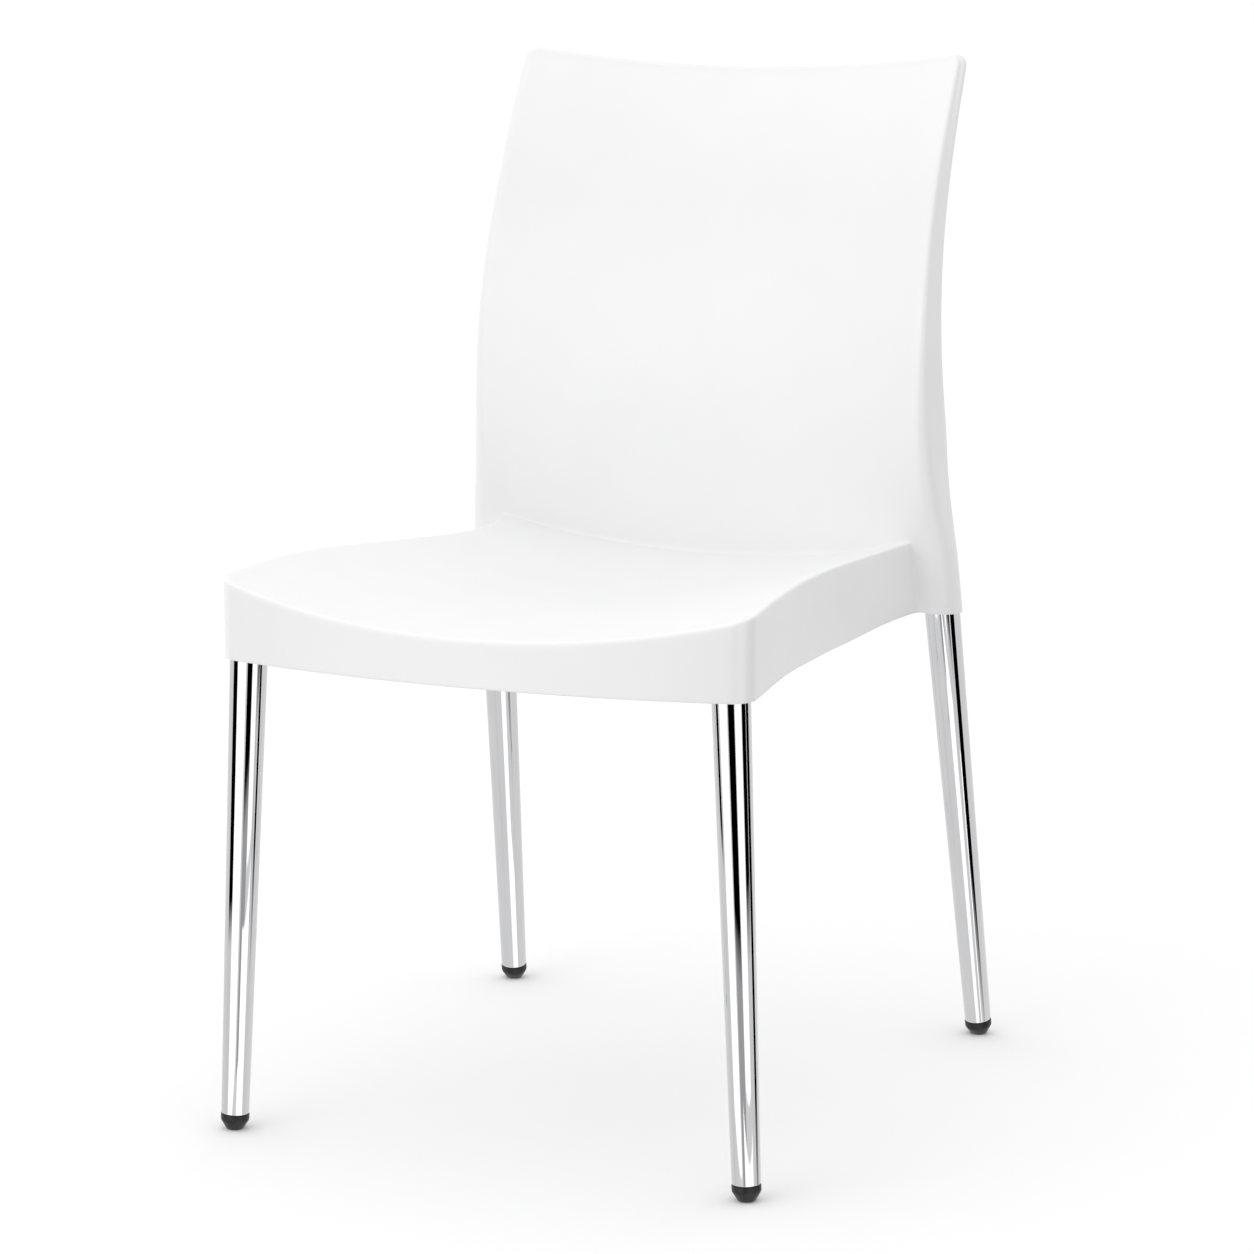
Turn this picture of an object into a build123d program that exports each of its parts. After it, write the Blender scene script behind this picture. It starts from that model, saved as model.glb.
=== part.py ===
from build123d import *
import math
import os

# A stacking chair: one moulded seat shell on four splayed, tapered tubular legs.
# Millimetres. +Z is up, the chair faces -Y, and X runs across it.
# The origin is on the floor, under the middle of the chair's bounding box.

# Overall
BACK_TOP = 851.3  # where the side and top lines would meet; the rounded corners reach 850
DEPTH_SHIFT = 12.25  # from the point midway between the feet to the middle of the box

# Shapes used only for cutting reach well past the chair: across it, along it, and up or down
WIDE = 260.0
LONG = 400.0
LOW = 300.0
HIGH = 900.0

# Seat, seen from above, with Y measured from the point midway between the feet
FRONT_Y = -294.0
CORNER_X, CORNER_Y = 208.8, -251.6
CORNER_RADIUS = 19.0
SEAT_SIDE = [(222.6, -198), (209.0, -112), (191.5, -15), (181.5, 75), (184.0, 135)]
SEAT_REAR = (197.0, 184.0)  # hidden inside the posts
HOLLOW_REAR = (186.0, 161.0)

# Seat, seen from the side: (Y, height of the top edge, dish at the centre line)
SEAT_SECTIONS = [
    (-310, 446.0, 22.0),
    (-250, 454.5, 27.0),
    (-180, 459.0, 30.0),
    (-70, 455.0, 33.0),
    (40, 447.5, 34.0),
    (130, 444.5, 30.0),
    (220, 450.0, 26.0),
]
# Lower edge of the skirt: (Y, height)
SKIRT_BOTTOM = [
    (-310, 387),
    (-250, 388.5),
    (-195, 393),
    (-112, 390),
    (0, 382),
    (90, 379),
    (165, 383.5),
    (320, 384),
]
SEAT_TALLEST = 500.0  # above every part of the seat, below the wide part of the back
SKIN = 4.5
SKIRT_WALL = 4.0

# Ribs under the seat
RIB_THICKNESS = 2.5
RIB_DEPTH = 9.0
RIBS_ALONG_X = [-120, -60, 0, 60, 120]
RIBS_ACROSS_Y = [-210, -140, -70, 0, 70, 140]

# Level slices through the back. Each row gives the height, the front face's half width, place
# and edge rounding, the rear edge's half width, place and rounding, and the hollow's half width.
# At the bottom the slice is round enough at its ends to hold the rear legs.
BACK_SECTIONS = [
    (370, 229.1, 179.0, 16.5, 229.1, 214.0, 16.5, 191.5),
    (435, 225.8, 167.6, 16.5, 225.8, 203.0, 16.0, 191.5),
    (489, 217.0, 155.8, 13.0, 219.5, 194.0, 11.0, 194.0),
    (537, 212.5, 149.8, 10.5, 216.6, 184.8, 6.0, 203.0),
    (615, 209.4, 152.5, 7.0, 212.8, 179.0, 2.5, 205.5),
    (691, 206.1, 168.5, 5.0, 209.4, 190.0, 2.0, 203.0),
    (776, 203.8, 204.0, 4.0, 207.2, 219.0, 2.0, 200.5),
    (856, 202.2, 250.0, 3.0, 204.8, 260.0, 1.5, 198.5),
]
BACK_DISH = 20.0
BACK_WALL = 5.0
TOP_WALL = 4.5
TOP_HALF = 204.5
TOP_DIP = 15.0
SIDE_TAPER_START = 560.0  # below this the back's outline is left to its slices
TOP_CORNER_RADIUS = 9.0

# Legs: centre of each foot on the floor, and how far the axis moves for 1 mm of height
LEG_TYPES = {
    "front": {"foot": (225.0, -259.0), "slope": (-0.0444, 0.0139), "top": 436.0},
    "rear": {"foot": (226.8, 259.0), "slope": (-0.0408, -0.1690), "top": 440.0},
}
LEG_TOP_DIAMETER = 30.0
LEG_FOOT_DIAMETER = 22.6
LEG_WALL = 1.5
SOCKET_DEPTH = 50.0
SOCKET_RADIUS = 17.5
SOCKET_CAP = 3.0
BOSS_RADIUS = 9.0

# Glides, plugs, screws, washers
GLIDE_HEIGHT = 13.6
GLIDE_CONE = 8.0
GLIDE_BOTTOM_DIAMETER = 11.5
STEM_LENGTH = 22.0
PLUG_LENGTH = 34.0
SCREW_BELOW_TOP = 20.0
SCREW_DIAMETER = 5.0
SCREW_LENGTH = 20.0
SCREW_HEAD_DIAMETER = 10.5
SCREW_HEAD_HEIGHT = 3.2
SCREW_HEAD_ROUND = 1.2
RECESS = (1.2, 6.0, 3.0)  # each arm of the cross: width, length and twice the depth
BOSS_REACH = SOCKET_RADIUS + 1.5  # from the leg's axis to the face under the washer
WASHER_DIAMETER = 13.0
WASHER_THICKNESS = 1.2

SIDES = {"left": -1, "right": 1}
ALIGN_ABOVE = (Align.CENTER, Align.CENTER, Align.MIN)


def save(part, name):
    """Moves a piece from the foot-centred layout to the part's frame and writes it."""
    part = Pos(0, DEPTH_SHIFT, 0) * part
    part.label = name
    export_step(part, f"parts/{name}.step")


# Seat


def seat_plan(inset):
    """Outline of the seat from above, a given distance inside the skirt's outer face."""
    radius = CORNER_RADIUS - inset
    rear = HOLLOW_REAR if inset else SEAT_REAR
    front_y = FRONT_Y + inset
    rise = CORNER_Y - front_y
    front_radius = (CORNER_X**2 + rise**2 - radius**2) / (2 * (rise - radius))
    to_corner = math.atan2(CORNER_X, front_radius - rise)
    meet = (CORNER_X + radius * math.sin(to_corner), CORNER_Y - radius * math.cos(to_corner))
    middle = (math.pi / 2 + to_corner) / 2
    corner_middle = (CORNER_X + radius * math.sin(middle), CORNER_Y - radius * math.cos(middle))
    side = [(x - inset, y) for x, y in SEAT_SIDE]
    side_start = (CORNER_X + radius, CORNER_Y)
    rear_middle = (0, rear[1] + BACK_DISH)

    def left(point):
        return (-point[0], point[1])

    edges = [
        ThreePointArc(left(meet), (0, front_y), meet),
        ThreePointArc(meet, corner_middle, side_start),
        Spline(side_start, *side, rear),
        ThreePointArc(rear, rear_middle, left(rear)),
        Spline(left(rear), *[left(p) for p in reversed(side)], left(side_start)),
        ThreePointArc(left(side_start), left(corner_middle), left(meet)),
    ]
    return make_face(edges)


def half_width(y):
    """Half width of the seat at a place along its depth."""
    points = [(CORNER_X + CORNER_RADIUS, CORNER_Y)] + SEAT_SIDE + [SEAT_REAR]
    if y <= points[0][1]:
        return points[0][0]
    for (x0, y0), (x1, y1) in zip(points, points[1:]):
        if y <= y1:
            return x0 + (x1 - x0) * (y - y0) / (y1 - y0)
    return points[-1][0]


def below_seat(drop):
    """Everything below the dished top of the seat, lowered by a given distance."""
    faces = []
    for y, edge_z, dish in SEAT_SECTIONS:
        end_z = edge_z - drop + dish * ((WIDE / half_width(y)) ** 2 - 1)
        outline = [
            ThreePointArc((-WIDE, end_z), (0, edge_z - dish - drop), (WIDE, end_z)),
            Line((WIDE, end_z), (WIDE, LOW)),
            Line((WIDE, LOW), (-WIDE, LOW)),
            Line((-WIDE, LOW), (-WIDE, end_z)),
        ]
        plane = Plane(origin=(0, y, 0), x_dir=(1, 0, 0), z_dir=(0, -1, 0))
        faces.append(plane * make_face(outline))
    return loft(faces)


def above_skirt():
    """Everything above the skirt's lower edge, which rises and falls along the sides."""
    first, last = SKIRT_BOTTOM[0], SKIRT_BOTTOM[-1]
    outline = [
        Spline(*SKIRT_BOTTOM),
        Line(last, (last[0], HIGH)),
        Line((last[0], HIGH), (first[0], HIGH)),
        Line((first[0], HIGH), first),
    ]
    plane = Plane(origin=(0, 0, 0), x_dir=(0, 1, 0), z_dir=(1, 0, 0))
    return extrude(plane * make_face(outline), amount=WIDE, both=True)


def seat_prism(inset):
    return Pos(0, 0, LOW) * extrude(seat_plan(inset), amount=SEAT_TALLEST - LOW)


def seat_hollow():
    return seat_prism(SKIRT_WALL) & below_seat(SKIN)


def seat_ribs(hollow):
    """Stiffening ribs that hang under the seat's skin, across the hollow inside the skirt."""
    ribs = Part()
    for x in RIBS_ALONG_X:
        ribs += Pos(x, 0, SEAT_TALLEST) * Box(RIB_THICKNESS, 2 * LONG, SEAT_TALLEST)
    for y in RIBS_ACROSS_Y:
        ribs += Pos(0, y, SEAT_TALLEST) * Box(2 * WIDE, RIB_THICKNESS, SEAT_TALLEST)
    return (ribs & hollow) - below_seat(SKIN + RIB_DEPTH)


# Back


def quarter_arc(start, end, centre, radius):
    """Rounded corner from one point to the next, round a centre."""
    direction = Vector(start[0] + end[0] - 2 * centre[0], start[1] + end[1] - 2 * centre[1]).normalized()
    return ThreePointArc(start, (centre[0] + radius * direction.X, centre[1] + radius * direction.Y), end)


def mirrored(edges):
    return [mirror(edge, about=Plane.YZ) for edge in edges]


def back_section(row):
    """One level slice through the back: front face, rounded edges and rear face."""
    height, half, front, front_round, rear_half, rear, rear_round, _ = row
    front_end = (half - front_round, front)
    side_start = (half, front + front_round)
    side_end = (rear_half, rear - rear_round)
    rear_end = (rear_half - rear_round, rear)
    side = [
        quarter_arc(front_end, side_start, (front_end[0], side_start[1]), front_round),
        Line(side_start, side_end),
        quarter_arc(side_end, rear_end, (rear_end[0], side_end[1]), rear_round),
    ]
    front_face = ThreePointArc((-front_end[0], front), (0, front + BACK_DISH), front_end)
    rear_face = ThreePointArc(rear_end, (0, rear + BACK_DISH), (-rear_end[0], rear))
    return Pos(0, 0, height) * make_face([front_face, *side, rear_face, *mirrored(side)])


def back_hollow_section(row):
    """The same slice through the hollow behind the back panel."""
    height, _, front, _, _, rear, _, hollow_half = row
    inner = (hollow_half, front + BACK_WALL)
    outer = (hollow_half + 2, rear + 3 * BACK_DISH)
    edges = [
        ThreePointArc((-inner[0], inner[1]), (0, inner[1] + BACK_DISH), inner),
        Line(inner, outer),
        Line(outer, (-outer[0], outer[1])),
        Line((-outer[0], outer[1]), (-inner[0], inner[1])),
    ]
    return Pos(0, 0, height) * make_face(edges)


def below_back_top(inset):
    """Front view of the back's outline: the top edge dips in the middle."""
    top, half = BACK_TOP - inset, TOP_HALF - inset
    wide, waist = BACK_SECTIONS[0][1] + 1, SIDE_TAPER_START
    outline = [
        ThreePointArc((-half, top), (0, top - TOP_DIP), (half, top)),
        Line((half, top), (wide, waist)),
        Line((wide, waist), (wide, LOW)),
        Line((wide, LOW), (-wide, LOW)),
        Line((-wide, LOW), (-wide, waist)),
        Line((-wide, waist), (-half, top)),
    ]
    plane = Plane(origin=(0, 0, 0), x_dir=(1, 0, 0), z_dir=(0, -1, 0))
    block = extrude(plane * make_face(outline), amount=LONG, both=True)
    corners = block.edges().filter_by(Axis.Y).group_by(Axis.Z)[-1]
    return fillet(corners, max(TOP_CORNER_RADIUS - inset, 3))


def back_block():
    """The back filled in from its front face to its rear edges, with the two posts."""
    return loft([back_section(row) for row in BACK_SECTIONS]) & below_back_top(0)


def back_hollow():
    """The space behind the back panel, between the flanges and under the top edge."""
    return loft([back_hollow_section(row) for row in BACK_SECTIONS]) & below_back_top(TOP_WALL)


# Legs and their sockets


def leg_axis(kind, side, z):
    """Centre of a leg at a height above the floor."""
    leg = LEG_TYPES[kind]
    x = leg["foot"][0] + leg["slope"][0] * z
    y = leg["foot"][1] + leg["slope"][1] * z
    return Vector(SIDES[side] * x, y, z)


def leg_plane(kind, side, z):
    """A plane square to the leg, with its Z axis up along the tube."""
    along = leg_axis(kind, side, z + 1) - leg_axis(kind, side, z)
    return Plane(origin=leg_axis(kind, side, z), x_dir=(1, 0, 0), z_dir=along)


def leg_length(kind, side):
    top = LEG_TYPES[kind]["top"]
    return (leg_axis(kind, side, top) - leg_axis(kind, side, 0)).length


def screw_height(kind):
    return LEG_TYPES[kind]["top"] - SCREW_BELOW_TOP


def turned(kind, side, profile, z=0):
    """A body of revolution round the leg's axis from a closed (radius, height) outline."""
    face = Plane.XZ * make_face(Polyline(*profile, close=True))
    return leg_plane(kind, side, z) * revolve(face, Axis.Z)


def standing(radius, height):
    return Cylinder(radius, height, align=ALIGN_ABOVE)


def screw_hole(kind, side, diameter):
    """A hole across the leg, from the inner side of its socket to the tube's middle."""
    x_inward = -SIDES[side]
    centre = leg_axis(kind, side, screw_height(kind))
    plane = Plane(origin=centre, x_dir=(0, 1, 0), z_dir=(x_inward, 0, 0))
    return plane * standing(diameter / 2, 2 * BOSS_REACH)


def leg_tube(kind, side):
    """Tapered tube: straight in the socket, slimmer towards the floor, open at both ends."""
    length = leg_length(kind, side)
    start, straight = GLIDE_HEIGHT, length - SOCKET_DEPTH
    foot, top = LEG_FOOT_DIAMETER / 2, LEG_TOP_DIAMETER / 2
    profile = [
        (foot - LEG_WALL, start),
        (foot, start),
        (top, straight),
        (top, length),
        (top - LEG_WALL, length),
        (top - LEG_WALL, straight),
    ]
    return turned(kind, side, profile) - screw_hole(kind, side, SCREW_DIAMETER)


def foot_glide(kind, side):
    """Foot cap: a short band and a cone under the tube's end, and a stem inside the tube."""
    length = leg_length(kind, side) - SOCKET_DEPTH
    growth = (LEG_TOP_DIAMETER - LEG_FOOT_DIAMETER) / 2 / (length - GLIDE_HEIGHT)
    band, bottom = LEG_FOOT_DIAMETER / 2 + 0.2, GLIDE_BOTTOM_DIAMETER / 2
    bore = LEG_FOOT_DIAMETER / 2 - LEG_WALL
    below_floor = -3.0  # trimmed level with the floor at the end
    profile = [
        (0, below_floor),
        (bottom, below_floor),
        (bottom, 0),
        (band, GLIDE_CONE),
        (band, GLIDE_HEIGHT),
        (bore, GLIDE_HEIGHT),
        (bore + growth * STEM_LENGTH, GLIDE_HEIGHT + STEM_LENGTH),
        (0, GLIDE_HEIGHT + STEM_LENGTH),
    ]
    above_floor = Pos(*leg_axis(kind, side, 0)) * Box(100, 100, 100, align=ALIGN_ABOVE)
    return turned(kind, side, profile) & above_floor


def tube_plug(kind, side):
    """Moulded insert in the tube's top end, which the fixing screw cuts into."""
    length = leg_length(kind, side)
    radius = LEG_TOP_DIAMETER / 2 - LEG_WALL
    profile = [(0, length - PLUG_LENGTH), (radius, length - PLUG_LENGTH), (radius, length), (0, length)]
    return turned(kind, side, profile) - screw_hole(kind, side, SCREW_DIAMETER)


def along_screw(kind, side, solid, distance):
    """Places a solid on the screw's axis, a distance inwards from the leg's axis."""
    x_inward = -SIDES[side]
    centre = leg_axis(kind, side, screw_height(kind)) + Vector(x_inward * distance, 0, 0)
    return Plane(origin=centre, x_dir=(0, 1, 0), z_dir=(x_inward, 0, 0)) * solid


def washer(kind, side):
    ring = standing(WASHER_DIAMETER / 2, WASHER_THICKNESS) - standing(SCREW_DIAMETER / 2, WASHER_THICKNESS)
    return along_screw(kind, side, ring, BOSS_REACH)


def leg_screw(kind, side):
    """Pan-head screw with a cross recess, through washer, socket and tube into the plug."""
    head = standing(SCREW_HEAD_DIAMETER / 2, SCREW_HEAD_HEIGHT)
    head = fillet(head.edges().group_by(Axis.Z)[-1], SCREW_HEAD_ROUND)
    slot = Pos(0, 0, SCREW_HEAD_HEIGHT) * Box(*RECESS)
    head = head - slot - Rot(0, 0, 90) * slot
    shank = Pos(0, 0, -SCREW_LENGTH) * standing(SCREW_DIAMETER / 2, SCREW_LENGTH)
    return along_screw(kind, side, head + shank, BOSS_REACH + WASHER_THICKNESS)


def screw_boss(kind, side):
    """A flat-faced boss on the inner side of a socket, which the screw's washer sits on."""
    return along_screw(kind, side, standing(BOSS_RADIUS, BOSS_REACH), 0)


def front_socket(side):
    """The barrel round the top of a front leg."""
    start = leg_length("front", side) - SOCKET_DEPTH - 10
    end = leg_length("front", side) + SOCKET_CAP
    profile = [(0, start), (SOCKET_RADIUS, start), (SOCKET_RADIUS, end), (0, end)]
    return turned("front", side, profile) + screw_boss("front", side)


def socket_bore(kind, side):
    end = leg_length(kind, side)
    start = end - 2 * SOCKET_DEPTH
    radius = LEG_TOP_DIAMETER / 2
    bore = turned(kind, side, [(0, start), (radius, start), (radius, end), (0, end)])
    return bore + screw_hole(kind, side, SCREW_DIAMETER)


# The shell


def seat_shell():
    """Seat and back in one piece: a filled outside, hollowed from below and from behind."""
    seat = seat_prism(0) & below_seat(0)
    hollow = seat_hollow()
    shell = (seat + back_block()) & above_skirt()
    shell -= back_hollow()
    shell -= hollow
    shell += seat_ribs(hollow)
    for side in SIDES:
        shell += front_socket(side) & seat & above_skirt()
        shell += screw_boss("rear", side)
    for kind in LEG_TYPES:
        for side in SIDES:
            shell -= socket_bore(kind, side)
    return shell


def main():
    os.makedirs("parts", exist_ok=True)
    save(seat_shell(), "seat_shell")
    for kind in LEG_TYPES:
        for side in SIDES:
            place = f"{kind}_{side}"
            save(leg_tube(kind, side), f"leg_{place}")
            save(foot_glide(kind, side), f"glide_{place}")
            save(tube_plug(kind, side), f"tube_plug_{place}")
            save(leg_screw(kind, side), f"leg_screw_{place}")
            save(washer(kind, side), f"screw_washer_{place}")


main()
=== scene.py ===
import math

import bmesh
import bpy
import numpy as np
from mathutils import Matrix, Vector


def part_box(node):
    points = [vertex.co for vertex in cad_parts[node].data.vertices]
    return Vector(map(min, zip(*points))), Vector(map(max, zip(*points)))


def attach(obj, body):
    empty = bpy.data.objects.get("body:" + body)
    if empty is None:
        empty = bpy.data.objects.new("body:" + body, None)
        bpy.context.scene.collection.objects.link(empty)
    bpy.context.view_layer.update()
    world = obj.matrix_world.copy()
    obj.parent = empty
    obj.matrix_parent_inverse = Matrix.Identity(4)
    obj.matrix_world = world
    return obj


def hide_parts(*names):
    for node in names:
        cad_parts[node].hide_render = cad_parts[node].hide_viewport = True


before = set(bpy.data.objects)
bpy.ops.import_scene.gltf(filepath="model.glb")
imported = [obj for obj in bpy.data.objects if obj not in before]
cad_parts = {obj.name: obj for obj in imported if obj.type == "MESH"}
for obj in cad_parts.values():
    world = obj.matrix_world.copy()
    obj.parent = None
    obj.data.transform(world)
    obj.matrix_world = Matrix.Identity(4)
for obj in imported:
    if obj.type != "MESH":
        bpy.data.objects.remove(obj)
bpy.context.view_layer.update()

# A stacking chair: a white moulded shell on four chromed tube legs with black glides.
# Sizes in this file are in millimetres; MM turns them into Blender's metres.
MM = 0.001
SIDES = {"left": -1, "right": 1}
KINDS = ("front", "rear")
PLACES = [(kind, side) for kind in KINDS for side in SIDES]

# Seat from above, with Y measured from the point midway between the feet
FRONT_Y = -294.0
CORNER_X, CORNER_Y, CORNER_RADIUS = 208.8, -251.6, 19.0
FRONT_RISE = CORNER_Y - FRONT_Y
FRONT_RADIUS = (CORNER_X**2 + FRONT_RISE**2 - CORNER_RADIUS**2) / (2 * (FRONT_RISE - CORNER_RADIUS))

# Lines along the seat as (Y, value): half width, height of the edge, how far the middle dips
# below the edge, and height of the skirt's lower rim
SEAT_SIDE = [(-251.6, 227.8), (-198, 222.6), (-112, 209), (-15, 191.5), (75, 181.5), (135, 184), (180, 194)]
SEAT_EDGE_HEIGHT = [
    (-310, 446), (-250, 454.5), (-180, 459), (-70, 455), (40, 447.5), (130, 444.5), (200, 448),
]
SEAT_DISH = [(-310, 22), (-250, 27), (-180, 30), (-70, 33), (40, 34), (130, 30), (220, 26)]
SKIRT_BOTTOM = [
    (-310, 387), (-250, 388.5), (-195, 393), (-112, 390), (0, 382), (90, 379), (165, 383.5), (230, 384),
]

# Lines up the back as (height, value): at the front face its half width, Y and edge rounding, at
# the rear rim its half width and Y, and the rounding of the post's rear corner
BACK_HALF = [
    (384, 228.3), (435, 225.8), (489, 217), (537, 212.5),
    (615, 209.4), (691, 206.1), (776, 203.8), (856, 202.2),
]
BACK_FRONT = [
    (384, 176.6), (435, 167.6), (489, 155.8), (537, 149.8),
    (615, 152.5), (691, 168.5), (776, 204), (856, 250),
]
BACK_ROUND = [(384, 16.5), (435, 16.5), (489, 13), (537, 10.5), (615, 7), (691, 5), (776, 4), (856, 3)]
BACK_REAR_HALF = [
    (384, 228.3), (435, 225.8), (489, 219.5), (537, 216.6),
    (615, 212.8), (691, 209.4), (776, 207.2), (856, 204.8),
]
BACK_REAR = [
    (384, 211.6), (435, 203), (489, 194), (537, 184.8), (615, 179), (691, 190), (776, 219), (856, 260),
]
POST_ROUND = [(384, 16.5), (435, 16), (489, 11), (537, 6), (615, 2.5), (856, 1.5)]
BACK_DISH = 20.0
BACK_TOP, TOP_HALF, TOP_DIP, TOP_CORNER = 850.9, 204.5, 15.0, 9.0
POST_BOTTOM = 384.0

# Walls
SKIN = 4.0
SKIRT_WALL = 3.0
POST_WALL = 2.0

# Ribs under the seat, and the clear half width between the posts behind the back
RIB_TOP_HALF, RIB_BOTTOM_HALF, RIB_DEPTH, RIB_ROUND = 1.25, 0.9, 9.0, 0.5
RIB_OVERLAP_TOP, RIB_OVERLAP_END = 0.6, 1.2
RIB_SECTIONS = 32
RIBS_ALONG_X = [-120, -60, 0, 60, 120]
RIBS_ACROSS_Y = [-210, -140, -70, 0, 70, 140]
HOLLOW_HALF = [(384, 191.5), (435, 191.5), (489, 194.0), (537, 203.0), (562, 209.0)]

# Legs: centre of each foot on the floor and how far the axis moves per mm of height
LEGS = {
    "front": {"foot": (225.0, -259.0), "slope": (-0.0444, 0.0139), "top": 436.0},
    "rear": {"foot": (226.8, 259.0), "slope": (-0.0408, -0.1690), "top": 440.0},
}
LEG_TOP_RADIUS, LEG_FOOT_RADIUS, LEG_WALL = 15.0, 11.3, 1.5
LEG_EDGE_ROUND = 0.6
SOCKET_DEPTH, SOCKET_RADIUS, SOCKET_CORNER_RADIUS = 50.0, 17.5, 16.0
SOCKET_BOTTOM, SOCKET_TOP, SOCKET_SEGMENTS, SOCKET_SECTIONS = 391.5, 452.0, 64, 8
BOSS_RADIUS, BOSS_START, BOSS_REACH, BOSS_ROUND, BOSS_SEGMENTS = 9.0, 8.0, 19.0, 0.8, 48
SCREW_BELOW_TOP = 20.0
GLIDE_HEIGHT, GLIDE_CONE, GLIDE_BOTTOM, GLIDE_ROUND = 13.6, 8.0, 6.7, 1.2
GLIDE_LIP, GLIDE_GAP, GLIDE_STEM = 0.2, 0.25, 22.0
CORE_BOTTOM, CORE_TOP, CORE_SECTIONS, CORE_ARC = 384.6, 560.0, 40, 8
CORE_INSIDE_X, CORE_BURIED = 182.0, 1.0
LATHE_SEGMENTS = 96

# Camera: angles in degrees, place in metres before the shift to the row's frame
CAMERA_AZIMUTH, CAMERA_PITCH, CAMERA_LENS = 24.581, 10.177, 118.39
CAMERA_PLACE = (1.4009, -3.0501, 0.98915)

# Control mesh of the shell: how many quads each stretch has, how far the rows beside an edge lie
# from it (which sets how tightly the edge is rounded), and how often a crossing is refined
FRONT_COLUMNS, CORNER_COLUMNS, SIDE_ROWS = 7, 6, 11
HALF_CORNER = FRONT_COLUMNS + CORNER_COLUMNS // 2
BACK_ROWS, TOP_CORNER_COLUMNS, RIM_ROWS = 13, 6, 4
EDGE_RING, EDGE_DROP, EDGE_DROP_INSIDE, RIM_SUPPORT = 6.0, 5.0, 6.0, 1.8
SKIRT_SHARES = (0.38, 0.7)
CREASE_SUPPORT, CREASE_SUPPORT_END = 7.0, 5.0
CREASE_GUESS, MEETING_GUESS, SETTLE_STEPS = 190.0, 170.0, 30
FACE_START, FACE_LIFT = 0.5, 14.0
TOP_MARGIN, FACE_CORNER = 17.0, 7.0
TOP_ROUND, RIM_LENGTH = 3.0, 6.0
LEAST_INNER_ROUND, LEAST_INNER_POST_ROUND, LEAST_STEP = 0.4, 0.5, 0.3
POST_FADE, FACE_FADE, MIDDLE_FADE = (455, 560), 700, (450, 520)
MIDDLE_SHARE_LOW, MIDDLE_SHARE_HIGH = 0.2, 0.5
APRON_SHARE, APRON_DROP = 0.6, 5.0

# Looks. Places and sizes of the lights and boards are in metres.
SHELL_DARK, SHELL_LIGHT = (0.905, 0.905, 0.905), (0.92, 0.92, 0.92)
FLOOR_COLOUR, FLOOR_REACH = 0.98, 100.0
WORLD_LEVEL = 0.795
WORLD_SLOPES = {"X": -0.155, "Y": 0.06, "Z": 0.36}
WORLD_LEAST, WORLD_IN_REFLECTIONS = 0.02, 0.95
OVERHEAD_CENTRE, OVERHEAD_SIZE, OVERHEAD_LEVEL = (-0.9, -0.35, 2.4), 1.3, 2.0
KEY_WATTS, KEY_SIZE, KEY_PLACE, KEY_TARGET = 16.0, (2.5, 2.0), (-1.2, -3.2, 1.8), (0, 0, 0.5)
# Boards that only reflections see: name, centre, width, lowest, highest, top and bottom
# brightness, and the heights between which it changes.
CARDS = [
    ("softbox_left", (-0.43, -1.36), 1.15, -0.55, 1.6, 1.75, 1.75, (0.0, 0.1)),
    ("softbox_right", (1.15, -0.75), 0.75, -0.3, 1.6, 1.75, 1.75, (0.0, 0.1)),
    ("softbox_low", (0.90, -0.74), 1.40, -2.2, -0.3, 1.75, 1.75, (-2.0, -1.0)),
    ("dark_front", (0.55, -1.18), 0.66, -0.52, 1.3, 0.0, 0.5, (-0.14, -0.06)),
    ("dark_left", (-0.63, -0.53), 0.30, -0.6, 1.3, 0.0, 0.9, (0.0, 0.05)),
    ("dark_right", (0.71, -0.17), 0.26, -0.6, 1.3, 0.0, 0.9, (0.06, 0.14)),
    ("dark_rear_right", (0.76, 0.16), 0.30, -1.6, 1.3, 0.0, 0.9, (-0.33, -0.13)),
]

# The CAD's foot-centred layout sits this far forward of the row's frame
DEPTH_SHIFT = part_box("seat_shell")[0].y / MM - FRONT_Y


# Curves and small helpers


def smooth_curve(points):
    """A smooth function through (place, value) points: a natural cubic spline, straight past its ends."""
    place, value = np.array(points, float).T
    gap, count = np.diff(place), len(place)
    matrix, right = np.eye(count), np.zeros(count)
    for i in range(1, count - 1):
        matrix[i, i - 1 : i + 2] = gap[i - 1], 2 * (gap[i - 1] + gap[i]), gap[i]
        right[i] = 6 * ((value[i + 1] - value[i]) / gap[i] - (value[i] - value[i - 1]) / gap[i - 1])
    bend = np.linalg.solve(matrix, right)

    def at(p):
        i = int(np.clip(np.searchsorted(place, p) - 1, 0, count - 2))
        h, left, far = gap[i], p - place[i], place[i + 1] - p
        slope = (value[i + 1] - value[i]) / h
        if p < place[0]:
            return value[0] + left * (slope - h * bend[1] / 6)
        if p > place[-1]:
            return value[-1] - far * (slope + h * bend[-2] / 6)
        curve = (bend[i] * far**3 + bend[i + 1] * left**3) / (6 * h)
        curve += (value[i] / h - bend[i] * h / 6) * far
        return curve + (value[i + 1] / h - bend[i + 1] * h / 6) * left

    return at


seat_half = smooth_curve(SEAT_SIDE)
seat_edge = smooth_curve(SEAT_EDGE_HEIGHT)
seat_dish = smooth_curve(SEAT_DISH)
skirt_bottom = smooth_curve(SKIRT_BOTTOM)
back_half = smooth_curve(BACK_HALF)
back_front = smooth_curve(BACK_FRONT)
back_round = smooth_curve(BACK_ROUND)
back_rear_half = smooth_curve(BACK_REAR_HALF)
back_rear = smooth_curve(BACK_REAR)
post_round = smooth_curve(POST_ROUND)
hollow_half = smooth_curve(HOLLOW_HALF)


def ease(low, high, p):
    """0 below low, 1 above high, smooth between."""
    t = min(max((p - low) / (high - low), 0.0), 1.0)
    return t * t * (3 - 2 * t)


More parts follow.
